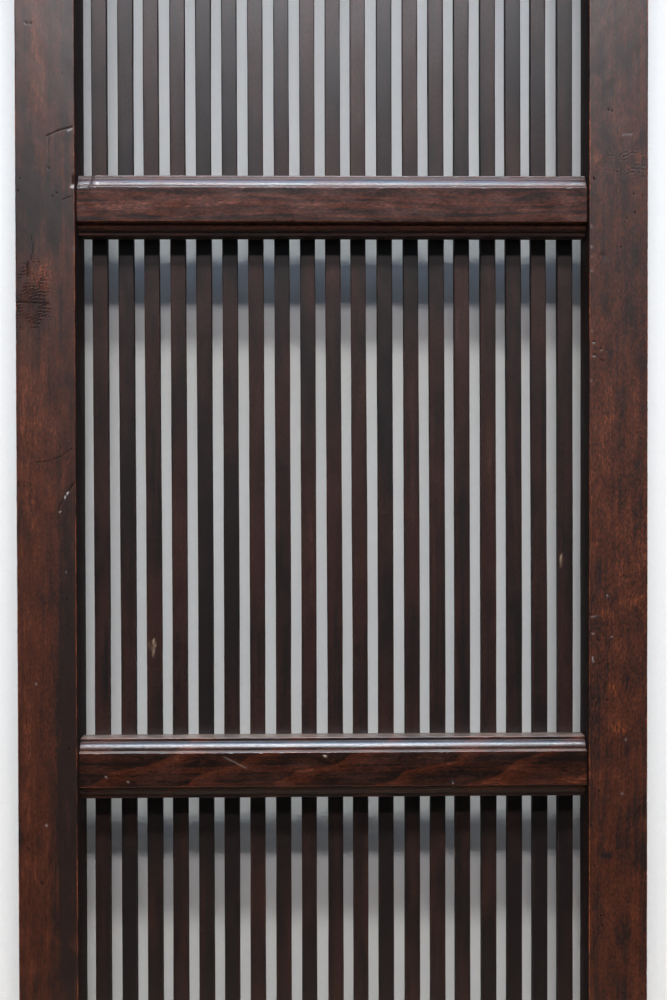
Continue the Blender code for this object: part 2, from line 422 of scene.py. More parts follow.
RIGHT_STROKES = [
    (567.3, 392.2, 567.7, 391.5, *DEEP_PIT),
    (570.7, 391.2, 571.1, 390.5, *DEEP_PIT),
    (581, 367.6, 590, 368, 0.6, -0.15, 0, 0.22),
    (553.2, 327, 554, 325.6, 1.1, 0.5, 0.9, 0),
    (592.2, 311.8, 592.4, 310.6, *DEEP_PIT),
    (600.4, 309.8, 600.4, 308.8, 0.8, 0.4, 0.7, 0),
    (593, 294.4, 593.2, 293.2, *DEEP_PIT),
    (585.6, 288.6, 585.8, 287.8, *SMALL_PIT),
    (579.6, 261.4, 579.8, 260.4, *SMALL_PIT),
    (551.2, 281, 551.4, 279.6, 0.6, 0.4, 0, 0.30),
    (551.2, 261.5, 551.4, 260, 0.6, 0.4, 0, 0.35),
    (551.2, 252, 551.2, 250.8, 0.5, 0.4, 0, 0.25),
    (551.2, 238.4, 551.4, 237.2, 0.6, 0.4, 0, 0.30),
    (551.2, 180.9, 551.4, 179.7, 0.5, 0.4, 0, 0.25),
    (551.2, 132.9, 551.4, 131.7, 0.5, 0.4, 0, 0.25),
    (562, 252.4, 563.4, 251.2, 2.4, 0.7, 0.2, 0),
    # Pits, each with a painted glint just below it
    (553, 170.6, 554.2, 169.6, 1.2, 0.6, 0.9, 0),
    (552.4, 168.4, 554.4, 168.2, 0.45, 0, 0, 0.45),
    (559.8, 163.6, 561.2, 162.6, 1, 0.6, 0.8, 0),
    (560.4, 161.4, 562, 161.4, 0.40, 0, 0, 0.30),
    (554, 157.4, 555, 156.6, 1, 0.5, 0.8, 0),
    (553, 155.4, 555, 155.2, 0.45, 0, 0, 0.45),
    (561, 152.6, 562.4, 151.6, 1.1, 0.5, 0.9, 0),
    (595.2, 82.9, 595.4, 81.6, *SMALL_PIT),
    (598.8, 77.4, 599, 76, *SMALL_PIT),
    (582.6, -46, 582.8, -46.8, *DARK_PIT),
    (582.6, -54.6, 582.8, -55.4, *DARK_PIT),
    (568, -64.2, 568.4, -65, *WIDE_PIT),
    # A painted glint at a small pit
    (566.3, -74.8, 567.1, -75.1, 0.5, 0.4, 0, 0.55),
    (570, -84.4, 570.4, -85.2, *WIDE_PIT),
    (550.4, -95.3, 557, -94.3, 0.45, 0.3, 0.1, 0.22),
    (552.2, -111.2, 553.6, -111.8, 0.6, 0.5, 0, 0.3),
    (557.6, -116.8, 559.6, -118.4, 1.1, 0.5, 0.9, 0),
    (552.2, -120.6, 553, -122, *DEEP_PIT),
    (562.6, -112.6, 563.4, -113.8, *WIDE_PIT),
    (570.6, -114.4, 571.4, -114.7, 0.5, 0.5, 0, 0.35),
    (552.5, -133.9, 553.4, -138.8, 0.6, 0.2, 0, 0.35),
    (550.1, -140.7, 559.7, -140.3, 0.6, 0.4, 0.8, 0),
    (552.5, -152.4, 552.7, -153.4, *DEEP_PIT),
    (552.6, -173.4, 553.4, -174.6, *DEEP_PIT),
    (558.9, -173.6, 559.9, -174.8, *DEEP_PIT),
    (566.1, -174.6, 567.1, -175.8, *DEEP_PIT),
    (553.8, -186.2, 554.4, -187.2, *SMALL_PIT),
    (552.3, -192.4, 552.7, -193.4, *SMALL_PIT),
    (584.6, -213.4, 585.2, -214.2, 0.7, 0.4, 0, 0.25),
    (558.7, -262.8, 559.1, -263.6, *DARK_PIT),
    (580.9, -265.9, 581.6, -266.4, 0.8, 0.3, 0, 0.3),
    (550.9, -296, 551.3, -297, *DARK_PIT),
    (554.2, -335.4, 554.8, -336.2, *DARK_PIT),
    (560.7, -383.4, 561.3, -384.4, *DARK_PIT),
    (562, -393.2, 562.6, -394, *DARK_PIT),
    (554.4, -400.4, 555, -401.2, *DARK_PIT),
]

UPPER_RAIL_STROKES = [
    (64.2, 299.2, 64.8, 298.6, *WIDE_PIT),
    (73.8, 304.4, 74.4, 304, *DARK_PIT),
    (70, 333, 72.6, 317, 0.7, 0.5, 1, 0),
    (76, 323.6, 77, 323.2, 0.9, 0.2, 0, 0.8),
]

LOWER_RAIL_STROKES = [
    (197, -230.2, 218.2, -240.9, 0.6, 0.3, 0.5, 0.15),
    (293.9, -229.5, 295.2, -229.9, 0.8, 0.3, 0, 0.9),
    (318.3, -234.5, 319.1, -234.9, *DARK_PIT),
    (338.6, -226.9, 339.4, -227.4, *DARK_PIT),
    (418, -254.4, 418.6, -255.4, 1.3, 1.6, 1, 0),
    # A painted glint just below the pit
    (418.2, -256.9, 418.8, -257.1, 0.45, 0, 0, 0.55),
    (82.8, -248.7, 83.6, -249.1, 0.7, 0.3, 0, 0.4),
    (104, -253.6, 104.8, -254, 0.7, 0.3, 0, 0.4),
]

# A slat's number from the left, then a stroke on it
SLAT_STROKES = {
    3: [
        (126.5, -121, 127.6, -126.5, 0.9, 0.7, 0.3, 0.7),
        (125.6, -128, 127, -134, 0.9, 0.6, 0.5, 0.5),
        (121, -124, 122, -126, 2.2, 0.2, 0, 0.12),
    ],
    10: [(294, 262, 294.6, 252.5, 0.9, 0.7, 0.8, 0.3)],
    19: [(524, -39, 529, -39, 0.6, 0.5, 0.8, 0), (529, -39, 529, -45, 0.6, 0.4, 0.2, 0.6)],
}

# A rough spot round a knot: across, up, half across, half up, height, dirt and painted shade
LEFT_ROUGH_SPOTS = [(16, 212, 15, 34, 0.075, 1)]
RIGHT_ROUGH_SPOTS = [(586, 341, 17, 11, 0.085, 0.35)]

# A patch: across, up, half across, half up, tone, grime
LEFT_PATCHES = [
    (20, 440, 7, 90, 0.75, 0),
    (50, 440, 9, 90, -0.30, 0),
    (30, 300, 40, 34, -0.55, 0),
    (25, 233, 12, 15, 1.3, 0),
    (16, 206, 16, 22, -0.20, 0.15),
    (26, 70, 26, 95, 0.35, 0),
    (14, -260, 16, 220, 0.55, 0),
    (50, -270, 17, 220, -0.60, 0),
    (9, 110, 7, 120, 0.45, 0),
]

RIGHT_PATCHES = [
    (579, 440, 34, 80, -0.20, 0),
    (557, 346, 4, 5, 1, 0),
    (597, 347, 4, 6, 0.9, 0),
    (577, 60, 30, 170, 0.35, 0),
    (564, -92, 8, 7, 0.8, 0),
    (592, -79, 8, 6, 0.9, 0),
    (573, -163, 7, 6, 0.8, 0),
    (580, -203, 9, 7, 0.8, 0),
    (567, -326, 6, 3, -0.8, 0.3),
    (577, -330, 30, 180, 0.20, 0),
]

UPPER_RAIL_PATCHES = [
    (300, 302, 250, 9, 0.35, 0),
    (120, 300, 60, 5, 0.35, 0),
]

LOWER_RAIL_PATCHES = [
    (303, -250, 250, 9, 0.10, 0),
    (463, -257, 14, 5, 0.9, 0),
    (497, -258, 14, 3, 0.5, 0),
    (530, -255, 9, 4, 0.9, 0),
]


# Outlines


def run(start, end, gap):
    """Points from start towards end, without the end itself."""
    start = np.asarray(start, float)
    end = np.asarray(end, float)
    count = max(1, round(float(np.linalg.norm(end - start)) / gap))
    return [start + (end - start) * step / count for step in range(count)]


def soft_outline(corners, turns):
    """A closed outline through (across, depth, rounding, point gap) corners. The gap is the next side's."""
    points = []
    for index, (across, depth, rounding, gap) in enumerate(corners):
        corner = np.array((across, depth))
        following = corners[(index + 1) % len(corners)]
        before = np.array(corners[index - 1][:2]) - corner
        after = np.array(following[:2]) - corner
        start = corner + before / np.linalg.norm(before) * rounding
        end = corner + after / np.linalg.norm(after) * rounding
        for step in range(turns):
            share = step / turns
            points.append((1 - share) ** 2 * start + 2 * share * (1 - share) * corner + share**2 * end)
        leave = np.array(following[:2]) - after / np.linalg.norm(after) * following[2]
        margin = after / np.linalg.norm(after) * min(CORNER_MARGIN, float(np.linalg.norm(leave - end)) / 4)
        points += [end] + run(end + margin, leave - margin, gap) + [leave - margin]
    return np.array(points)


def moulded_edge():
    """A moulded edge as (depth behind the flat, rise beyond the flat's edge), from the flat to the slats."""
    points = []
    for turn in np.radians(np.linspace(0.0, ARRIS_TILT, ARRIS_STEPS)):
        points.append((ARRIS_ROUND * (1 - math.cos(turn)), ARRIS_ROUND * math.sin(turn)))
    points += [tuple(point) for point in run(points[-1], LEDGE_END, LEDGE_POINT_GAP)[1:]]
    points += [LEDGE_END, *QUIRK]
    first, last = np.radians(OVOLO_TILTS)
    depth_reach = (OVOLO_END[0] - OVOLO_START[0]) / (math.cos(first) - math.cos(last))
    rise_reach = (OVOLO_END[1] - OVOLO_START[1]) / (math.sin(last) - math.sin(first))
    for turn in np.linspace(first, last, OVOLO_STEPS):
        depth = OVOLO_START[0] + depth_reach * (math.cos(first) - math.cos(turn))
        rise = OVOLO_START[1] + rise_reach * (math.sin(turn) - math.sin(first))
        points.append((depth, rise))
    points += FILLET
    for turn in np.radians(np.linspace(0.0, 90.0, ROUND_STEPS)):
        depth = TOP_ROUND_DEPTH + TOP_ROUND * (1 - math.cos(turn))
        points.append((depth, MOULDING_HEIGHT - TOP_ROUND + TOP_ROUND * math.sin(turn)))
    points.append((TOP_ROUND_DEPTH + TOP_ROUND + TOP_MARGIN, MOULDING_HEIGHT))
    return points


def plain_edge():
    """A plain rounded outer edge, as (depth, rise) with the rise measured from the flat's edge."""
    turns = np.radians(np.linspace(0.0, 90.0, ROUND_STEPS))
    return [(RAIL_OUTER_ROUND * (1 - math.cos(turn)), RAIL_OUTER_ROUND * math.sin(turn)) for turn in turns]


def rail_side(box, kind):
    """One edge of a rail from its front to its back, as (y, height above the rail's middle)."""
    (_, front, bottom), (_, back, top) = box
    half = (top - bottom) / 2
    edge = plain_edge() if kind == "plain" else moulded_edge()
    flat = half - edge[-1][1]
    side = [(front + depth, flat + rise) for depth, rise in edge]
    reach = half
    if kind == "rebated":
        shoulder = front + SHOULDER_DEPTH
        side += [tuple(point) for point in run(side[-1], (shoulder, half), RAIL_HIDDEN_GAP)[1:]]
        side += [(shoulder, half), (shoulder, half - SLAT_LAP)]
        reach = half - SLAT_LAP
    side += [tuple(point) for point in run(side[-1], (back, reach), RAIL_HIDDEN_GAP)[1:]]
    side.append((back, reach))
    return side


def rail_outline(box, upper, lower):
    """A rail's outline as (y, z). Each edge is moulded, plain, or moulded with a rebate behind it."""
    middle = (box[0][2] + box[1][2]) / 2
    over = [(y, middle + height) for y, height in rail_side(box, upper)]
    under = [(y, middle - height) for y, height in reversed(rail_side(box, lower))]
    behind = [tuple(point) for point in run(over[-1], under[0], RAIL_BACK_GAP)[1:]]
    points = over + behind + under
    points += [tuple(point) for point in run(points[-1], points[0], RAIL_FRONT_GAP)[1:]]
    return np.array(points)


# Bars


def ramp(values, start, full):
    """0 up to the start and 1 from where it is full, with a straight rise between them."""
    return np.clip((values - start) / (full - start), 0, 1)


def rings(low, high, gaps, strokes, axis, rough_spots=()):
    """Places of the rings along a bar: close together in view, closer still at strokes and rough spots."""
    gap, far_gap = gaps
    places = np.linspace(low, high, RING_SAMPLES)
    in_view = (places > VIEW_LOW) & (places < VIEW_HIGH) if axis == "Z" else places < np.inf
    density = np.where(in_view, 1 / gap, 1 / far_gap)
    for stroke in strokes:
        start, end = (stroke[1], stroke[3]) if axis == "Z" else (stroke[0], stroke[2])
        if abs(end - start) < SHORT_STROKE:
            middle = (start + end) / 2 * MM
            reach = (abs(end - start) / 2 + STROKE_REACH * stroke[4]) * MM
            density += STROKE_CROWD / gap * np.exp(-(((places - middle) / reach) ** 2))
    for _, up, _, half_up, _, _ in rough_spots:
        density += ROUGH_SPOT_CROWD / gap * np.exp(-(((places - up * MM) / (half_up * MM)) ** 4))
    for end in (low, high):
        density += END_CROWD * np.exp(-(((places - end) / END_REACH) ** 2))
    total = np.concatenate(([0.0], np.cumsum((density[1:] + density[:-1]) / 2 * np.diff(places))))
    count = int(round(total[-1]))
    return np.interp(np.linspace(0.0, total[-1], count + 1), total, places)


def section_turns(section):
    """Outward normals of a closed outline, and how sharply it turns at each point, in radians per metre."""
    ahead = np.roll(section, -1, axis=0) - section
    behind = section - np.roll(section, 1, axis=0)
    ahead_length = np.linalg.norm(ahead, axis=1)
    behind_length = np.linalg.norm(behind, axis=1)
    ahead_way = ahead / ahead_length[:, None]
    behind_way = behind / behind_length[:, None]
    along = ahead_way + behind_way
    along /= np.linalg.norm(along, axis=1)[:, None]
    normals = np.stack((along[:, 1], -along[:, 0]), axis=1)
    cross = behind_way[:, 0] * ahead_way[:, 1] - behind_way[:, 1] * ahead_way[:, 0]
    bend = np.arcsin(np.clip(cross, -1, 1)) / ((ahead_length + behind_length) / 2)
    return normals, bend


def stroke_footprint(x, z, stroke):
    """1 on a stroke's line, falling to 0 within about two half widths of it."""
    start = np.array(stroke[:2])
    way = np.array(stroke[2:4]) - start
    length = max(float(way @ way), 1e-9)
    share = np.clip(((x - start[0]) * way[0] + (z - start[1]) * way[1]) / length, 0, 1)
    away = (x - start[0] - share * way[0]) ** 2 + (z - start[1] - share * way[1]) ** 2
    return np.exp(-away / stroke[4] ** 2)


class Bar:
    """A bar's rings of points, with the height to raise each point by and its five wood values."""

    def __init__(self, section, places, axis):
        turned = np.roll(section, -1, axis=0)
        if float(np.sum(section[:, 0] * turned[:, 1] - turned[:, 0] * section[:, 1])) < 0:
            section = section[::-1]
        self.axis = axis
        self.places = places
        self.normals, self.bend = section_turns(section)
        shape = (len(places), len(section))
        along = np.broadcast_to(places[:, None], shape)
        first = np.broadcast_to(section[None, :, 0], shape)
        second = np.broadcast_to(section[None, :, 1], shape)
        self.x, self.y, self.z = (first, second, along) if axis == "Z" else (along, first, second)
        self.x, self.y, self.z = self.x.copy(), self.y.copy(), self.z.copy()
        facing = -self.normals[:, 1] if axis == "Z" else -self.normals[:, 0]
        self.front = np.broadcast_to(ramp(facing, *FRONT_FACING)[None, :], shape)
        self.lift = np.zeros(shape)
        self.worn = np.zeros(shape)
        self.grime_and_shade = np.zeros(shape)
        self.bare = np.zeros(shape)
        self.tone = np.zeros(shape)
        self.dull = np.zeros(shape)

    def waves(self, rng, size, lengths, stretch):
        """Smooth unevenness: plane waves in random directions, weaker along the axes with a small stretch."""
        total = np.zeros_like(self.x)
        for _ in range(WAVE_COUNT):
            way = rng.normal(size=3) * stretch
            way *= 2 * math.pi / rng.uniform(*lengths) / np.linalg.norm(way)
            total += np.sin(self.x * way[0] + self.y * way[1] + self.z * way[2] + rng.uniform(0, 2 * math.pi))
        return total * size * math.sqrt(2 / WAVE_COUNT)

    def spot(self, across, up, half_across, half_up):
        """1 in the middle of a soft round spot on the front, falling to 0 beyond it, in millimetres."""
        return np.exp(-((self.x / MM - across) / half_across) ** 2 - ((self.z / MM - up) / half_up) ** 2)

    def add_strokes(self, strokes):
        for stroke in strokes:
            footprint = stroke_footprint(self.x / MM, self.z / MM, stroke) * self.front
            self.lift -= footprint * stroke[5] * STROKE_DEPTH
            # Dirt and painted shade inside the stroke, then pale chips and painted glints
            self.grime_and_shade += footprint * stroke[6]
            self.bare += footprint * stroke[7]
            self.dull += footprint * stroke[6]

    def add_patches(self, patches):
        for *place, tone, grime_and_shade in patches:
            patch = self.spot(*place) * self.front
            self.tone += patch * tone
            self.grime_and_shade += patch * grime_and_shade

    def add_rough_spots(self, rng, spots):
        """Crinkled grain round a knot: short ripples across the bar, with a film of dirt, and dirt and
        painted shade in the hollows.
        """
        for *place, height, dirt_and_shade in spots:
            spot = np.clip(KNOT_PLATEAU * self.spot(*place), 0, 1) * self.front
            patchy = np.clip(self.waves(rng, *KNOT_SWELL) + KNOT_COVER, 0, 1)
            ripple = self.waves(rng, *KNOT_RIPPLE)
            self.lift += spot * patchy * ripple * height * MM
            self.grime_and_shade += spot * dirt_and_shade * (KNOT_FILM + patchy * np.clip(-ripple, 0, 1) * KNOT_HOLLOW_DIRT_AND_SHADE)

    def add_wear(self, rng, strength, hollow_dirt_and_shade):
        """Rubs the arrises unevenly, and blackens the hollows with dirt and painted shade."""
        ridge = ramp(self.bend, *RIDGE_BEND)[None, :]
        hollow = ramp(-self.bend, *HOLLOW_BEND)[None, :]
        self.worn += ridge * np.clip(self.waves(rng, *RUB_SWELL) + RUB_LEVEL, 0, 1) * strength
        self.grime_and_shade += hollow * hollow_dirt_and_shade
        self.lift -= ridge * ramp(self.waves(rng, *NIBBLE_SWELL), *NIBBLE_START) * NIBBLE_DEPTH

    def shade_and_dull_sides(self, ways):
        """Takes the gloss off unpolished sides and blackens them with painted shade. A way is 1 for the right
        side and -1 for the left.
        """
        side = sum(ramp(self.normals[:, 0] * way, *SIDE_FACING) for way in ways)[None, :]
        self.grime_and_shade += side * SIDE_SHADE
        self.dull += side

    def shade_and_dull_underside(self):
        """Takes the gloss off a rail's lower moulding, reddens it as a painted warm glow from below, and
        blackens it towards the slats as painted shade.
        """
        under = ramp(-self.normals[:, 1], *UNDER_FACING)[None, :]
        depth = np.clip(self.y - self.y.min() - UNDERSIDE_UNSHADED, 0, UNDERSIDE_SHADE_REACH)
        self.dull += under
        self.tone += under * UNDERSIDE_GLOW
        self.grime_and_shade += under * depth * UNDERSIDE_SHADE

    def paint_top_sheen(self, rng):
        """Lays a thin uneven pale film on a rail's flat top: a painted sheen for the light the top catches.
        """
        top = ramp(self.normals[:, 1], *TOP_FACING)[None, :]
        self.bare += top * np.clip(1 + self.waves(rng, *TOP_SHEEN_SWELL), 0, 2) * TOP_SHEEN

    def dirty_joints(self):
        """Leaves a little dirt at both ends of a rail, against the stiles."""
        for end in (self.places[0], self.places[-1]):
            self.grime_and_shade += JOINT_GRIME * np.exp(-np.abs(self.x - end) / JOINT_REACH)

    def patch_moulding(self):
        """Sets the left end of the upper moulding back a little, beyond a slanting cracked seam."""
        top = self.z.max()
        seam = PATCH_SEAM - (top - self.z) * PATCH_SLANT
        beyond = (1 - np.tanh((self.x - seam) / (2 * PATCH_SOFTNESS))) / 2
        upper = ramp(self.z, top - PATCH_FADE[0], top - PATCH_FADE[1])
        crack = np.exp(-(((self.x - seam) / SEAM_HALF_WIDTH) ** 2)) * upper
        self.lift -= PATCH_SINK * beyond * upper + SEAM_DEPTH * crack
        self.grime_and_shade += PATCH_GRIME * beyond * upper + SEAM_GRIME * crack

    def ease_ends(self, rounding):
        """Rounds both ends of the bar over."""
        for end in (self.places[0], self.places[-1]):
            away = np.clip(rounding - np.abs(self.places - end), 0, rounding)[:, None]
            self.lift -= rounding - np.sqrt(rounding**2 - away**2)

    def make_mesh(self, name):
        """Joins the rings with quads, and closes both ends."""
        x, y, z = self.x, self.y, self.z
        y = y + self.lift * self.normals[None, :, 1 if self.axis == "Z" else 0]
        if self.axis == "Z":
            x = x + self.lift * self.normals[None, :, 0]
        else:
            z = z + self.lift * self.normals[None, :, 1]
        count, around = x.shape
        grid = np.arange(count * around).reshape(count, around)
        after = np.roll(grid, -1, axis=1)
        quads = np.stack((grid[:-1], after[:-1], after[1:], grid[1:]), axis=-1).reshape(-1, 4)
        faces = quads.tolist() + [grid[0][::-1].tolist(), grid[-1].tolist()]
        mesh = bpy.data.meshes.new(name)
        mesh.from_pydata(np.stack((x, y, z), axis=-1).reshape(-1, 3), [], faces)
        smooth = np.ones(len(faces), dtype=bool)
        smooth[-2:] = False
        mesh.polygons.foreach_set("use_smooth", smooth)
        return mesh

    def make(self, node, material):
        """Makes the piece that stands for a CAD node, with its wood values and material."""
        name = node + "_wood"
        mesh = self.make_mesh(name)
        for value_name in ("worn", "grime_and_shade", "bare", "tone", "dull"):
            values = getattr(self, value_name)
            values[[0, -1]] = 0.0
            low = -1.0 if value_name == "tone" else 0.0
            layer = mesh.attributes.new(value_name, "FLOAT", "POINT")
            layer.data.foreach_set("value", np.clip(values, low, 1.0).astype(np.float32).ravel())
        mesh.materials.append(material)
        mesh.update()
        piece = bpy.data.objects.new(name, mesh)
        bpy.context.scene.collection.objects.link(piece)
        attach(piece, "root")
        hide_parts(node)


# Pieces


def random_pits(rng, low, high):
    """Small worm holes and knocks, scattered between two (across, up) corners."""
    pits = []
    for _ in range(PIT_COUNT):
        across = rng.uniform(low[0], high[0])
        up = rng.uniform(low[1], high[1])
        half = rng.uniform(*PIT_HALF_WIDTH)
        end_across = across + rng.uniform(-PIT_ACROSS, PIT_ACROSS)
        end_up = up + rng.uniform(-PIT_UP, PIT_UP)
        depth = rng.uniform(*PIT_DEPTH)
        grime_and_shade = rng.uniform(*PIT_GRIME_AND_SHADE)
        pits.append((across, up, end_across, end_up, half, depth, grime_and_shade, 0.0))
    return pits


def make_stile(node, material, strokes, patches, rough_spots, seed, inner_way, flare):
    """A stile. Its inner way is 1 or -1 along X, and its inner side leans right by the flare at its back."""
    rng = np.random.default_rng(seed)
    (left, front, low), (right, back, high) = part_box(node)
    outline = soft_outline([
        (left, front, STILE_FRONT_ROUND, STILE_FRONT_GAP),
        (right, front, STILE_FRONT_ROUND, STILE_SIDE_GAP),
        (right + max(inner_way, 0) * flare, back, STILE_BACK_ROUND, STILE_BACK_GAP),
        (left - min(inner_way, 0) * flare, back, STILE_BACK_ROUND, STILE_SIDE_GAP),
    ], CORNER_STEPS)
    pits_low = (left / MM + PIT_INSET, low / MM)
    pits_high = (right / MM - PIT_INSET, high / MM)
    strokes = strokes + random_pits(rng, pits_low, pits_high)
    bar = Bar(outline, rings(low, high, STILE_RING_GAPS, strokes, "Z", rough_spots), "Z")
    bar.lift += bar.waves(rng, *STILE_SWELL) - STILE_SINK
    bar.lift += bar.waves(rng, *STILE_RIPPLE)
    bar.add_strokes(strokes)
    bar.add_patches(patches)
    bar.add_rough_spots(rng, rough_spots)
    bar.add_wear(rng, STILE_WEAR, STILE_HOLLOW_DIRT_AND_SHADE)
    bar.shade_and_dull_sides([inner_way])
    bar.ease_ends(STILE_FRONT_ROUND)
    bar.make(node, material)


def rail_box(node):
    """The box of a rail without its tenons: its visible length runs from stile to stile."""
    low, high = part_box(node)
    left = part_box("stile_left")[1][0] + JOINT_GAP
    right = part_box("stile_right")[0][0] - JOINT_GAP
    return (left, low[1], low[2]), (right, high[1], high[2])


def make_rail(node, material, edges, strokes, patches, ring_gaps, seed, patched_end=False):
    """A rail. Its edges are the kinds of its upper and its lower edge."""
    rng = np.random.default_rng(seed)
    box = rail_box(node)
    bar = Bar(rail_outline(box, *edges), rings(box[0][0], box[1][0], ring_gaps, strokes, "X"), "X")
    bar.lift += bar.waves(rng, *RAIL_SWELL) - RAIL_SINK
    bar.add_strokes(strokes)
    bar.add_patches(patches)
    bar.add_wear(rng, RAIL_WEAR, RAIL_HOLLOW_DIRT_AND_SHADE)
    bar.shade_and_dull_underside()
    bar.paint_top_sheen(rng)
    bar.dirty_joints()
    if patched_end:
        bar.patch_moulding()
    bar.ease_ends(RAIL_END_ROUND)
    bar.make(node, material)


def make_slat(number, material):
    """A slat, a little out of line. The slats lean lower down, and drift to the right from first to last."""
    node = f"slat_{number:02d}"
    rng = np.random.default_rng(SLAT_SEED + number)
    (left, front, low), (right, back, high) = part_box(node)
    outline = soft_outline([
        (left, front, SLAT_ROUND, SLAT_FRONT_GAP),
        (right, front, SLAT_ROUND, SLAT_SIDE_GAP),
        (right, back, SLAT_ROUND, SLAT_BACK_GAP),
        (left, back, SLAT_ROUND, SLAT_SIDE_GAP),
    ], SLAT_CORNER_STEPS)
    strokes = SLAT_STROKES.get(number, [])
    bar = Bar(outline, rings(low, high, SLAT_RING_GAPS, strokes * SLAT_STROKE_CROWD, "Z"), "Z")
    bar.lift += bar.waves(rng, *SLAT_SWELL)
    lean = np.interp(bar.z, SLAT_LEAN_LEVELS, SLAT_LEANS)
    turn = math.pi * (bar.z - low) / (high - low) * rng.uniform(*SLAT_BOW_HALF_WAVES)
    bow = SLAT_BOW * np.sin(turn) * rng.choice((-1, 1))
    drift = SLAT_DRIFT * (number - 1) / (SLAT_COUNT - 1)
    bar.x += lean + bow + drift + rng.uniform(-SLAT_STRAY, SLAT_STRAY)
    bar.add_strokes(strokes)
    bar.add_wear(rng, SLAT_WEAR, SLAT_HOLLOW_DIRT_AND_SHADE)
    bar.shade_and_dull_sides([-1, 1])
    bar.tone -= np.interp(bar.z, LOW_DARK_LEVELS, LOW_DARK)
    bar.tone += rng.uniform(-SLAT_TONE, SLAT_TONE) + bar.waves(rng, *SLAT_TONE_SWELL)
    bar.ease_ends(SLAT_ROUND)
    bar.make(node, material)


# Materials


class Graph:
    """Short ways to add nodes to one material or world."""

    def __init__(self, owner):
        owner.use_nodes = True
        self.tree = owner.node_tree

    def named(self, name):
        return self.tree.nodes[name]

    def fill(self, socket, value):
        if isinstance(value, bpy.types.NodeSocket):
            self.tree.links.new(value, socket)
        else:
            socket.default_value = value

    def node(self, kind, sockets=None, **settings):
        made = self.tree.nodes.new("ShaderNode" + kind)
        for name, value in settings.items():
            setattr(made, name, value)
        for socket, value in (sockets or {}).items():
            self.fill(made.inputs[socket], value)
        return made

    def calc(self, operation, first, second=0.0, clamp=False):
        made = self.node("Math", {0: first, 1: second}, operation=operation, use_clamp=clamp)
        return made.outputs[0]

    def spread(self, value, low, high, to_low=0.0, to_high=1.0):
        """Maps low..high to to_low..to_high, held at both ends and eased."""
        sockets = {"Value": value, "From Min": low, "From Max": high, "To Min": to_low, "To Max": to_high}
        return self.node("MapRange", sockets, interpolation_type="SMOOTHSTEP").outputs["Result"]

    def mix(self, share, first, second, blend="MIX"):
        made = self.node("Mix", {0: share, 6: first, 7: second}, data_type="RGBA", blend_type=blend)
        return made.outputs[2]

    def place(self, vector, scale, offset=(0.0, 0.0, 0.0)):
        sockets = {"Vector": vector, "Location": offset, "Scale": scale}
        return self.node("Mapping", sockets).outputs["Vector"]

    def add(self, first, second):
        return self.node("VectorMath", {0: first, 1: second}, operation="ADD").outputs["Vector"]

    def even(self, value):
        """A vector with the same value along every axis."""
        return self.node("CombineXYZ", {"X": value, "Y": value, "Z": value}).outputs["Vector"]

    def noise(self, vector, detail, roughness):
        sockets = {"Vector": vector, "Scale": 1.0, "Detail": detail, "Roughness": roughness}
        return self.node("TexNoise", sockets).outputs["Fac"]

    def bump(self, height, strength, distance):
        sockets = {"Strength": strength, "Distance": distance, "Height": height}
        return self.node("Bump", sockets).outputs["Normal"]

    def value_of(self, name):
        return self.node("Attribute", attribute_name=name).outputs["Fac"]


def rgb(red, green, blue):
    return (red, green, blue, 1.0)


def grain_scale(axis, across, along):
    """A noise scale that is fine across the grain and long along it."""
    return (along, across, across) if axis == "X" else (across, across, along)


def wood_noises(graph, plain, axis, offset):
    """The noises that the wood is made of, in a place of its own for each piece."""
    own = graph.node("ObjectInfo").outputs["Random"]
    shift = graph.node("CombineXYZ", {axis: graph.calc("MULTIPLY", own, PIECE_SHIFT)}).outputs["Vector"]
    place = graph.place(graph.add(plain, shift), (1.0, 1.0, 1.0), offset)
    sway = graph.noise(graph.place(place, grain_scale(axis, *SWAY_SCALE)), 2.0, 0.5)
    sway = graph.node("VectorMath", {0: graph.even(sway), "Scale": SWAY_REACH}, operation="SCALE")
    swayed = graph.add(place, sway.outputs["Vector"])
    noises = {}
    for name, (across, along, detail, roughness, sways) in WOOD_NOISES.items():
        scaled = graph.place(swayed if sways else place, grain_scale(axis, across, along))
        noises[name] = graph.noise(scaled, detail, roughness)
    noises["pores"] = graph.spread(noises["pores"], *PORE_EDGE)
    return noises


def stain_amount(graph, noises, cloud, figure):
    """How red the stain is: dark below zero, and its plain colour above."""
    amount = graph.calc("MULTIPLY", graph.value_of("tone"), TONE_SHARE)
    shares = {"streak": STREAK_SHARE, "band": BAND_SHARE, "patch": cloud, "mottle": MOTTLE_SHARE}
    for name, share in shares.items():
        swing = graph.calc("MULTIPLY", graph.calc("SUBTRACT", noises[name], 0.5), share)
        amount = graph.calc("ADD", amount, swing)
    return graph.calc("ADD", amount, figure) if figure else amount


def worn_share(graph, noises, amount):
    """How far the wood is rubbed through: in its reddest streaks, and where its points are worn."""
    patches = graph.spread(noises["rub"], *WORN_STREAK_PATCHES)
    streaks = graph.calc("MULTIPLY", graph.spread(amount, *WORN_STREAKS), patches)
    arrises = graph.calc("MULTIPLY", graph.value_of("worn"), graph.spread(noises["rub"], *WORN_ARRIS_PATCHES))
    return graph.calc("MAXIMUM", graph.calc("MULTIPLY", streaks, WORN_STREAK_SHARE), arrises)


